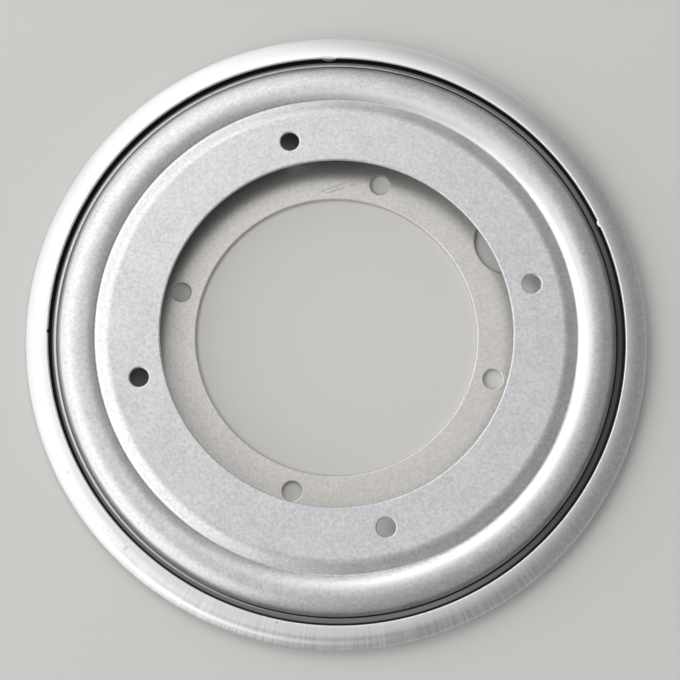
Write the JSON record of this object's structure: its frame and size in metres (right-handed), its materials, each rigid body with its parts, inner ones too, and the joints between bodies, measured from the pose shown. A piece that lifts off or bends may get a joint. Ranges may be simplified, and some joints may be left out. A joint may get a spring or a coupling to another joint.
{
  "type": "lazy susan bearing",
  "caption": "Flat round turntable bearing of pressed galvanised steel rings that turn on loose balls, with screw holes in each ring, an access hole in the lower one and an open centre.",
  "frame": {"origin": "on the turning axis, in the plane that the base plate is screwed to", "axes": "+Z is the turning axis, from the base plate to the top plate; +X points to the right of the picture"},
  "size_m": [0.1524, 0.1524, 0.0079],
  "materials": {
    "base_zinc": "satin galvanised sheet, slightly warm",
    "top_zinc": "satin galvanised sheet",
    "ball_steel": "ground steel balls with a film of grease"
  },
  "bodies": {
    "base": {"base_plate": "base_zinc"},
    "turntable": {"top_plate": "top_zinc"},
    "ball_train": {"balls": "ball_steel"}
  },
  "joints": [
    {"name": "turn", "type": "hinge", "parent": "base", "child": "turntable", "pos_m": [0, 0, 0.00397], "axis": [0, 0, 1], "continuous": true},
    {"name": "ball_roll", "type": "hinge", "parent": "base", "child": "ball_train", "pos_m": [0, 0, 0.00397], "axis": [0, 0, 1], "continuous": true}
  ],
  "couplings": [
    {"joint": "ball_roll", "follows": "turn", "ratio": 0.5}
  ]
}
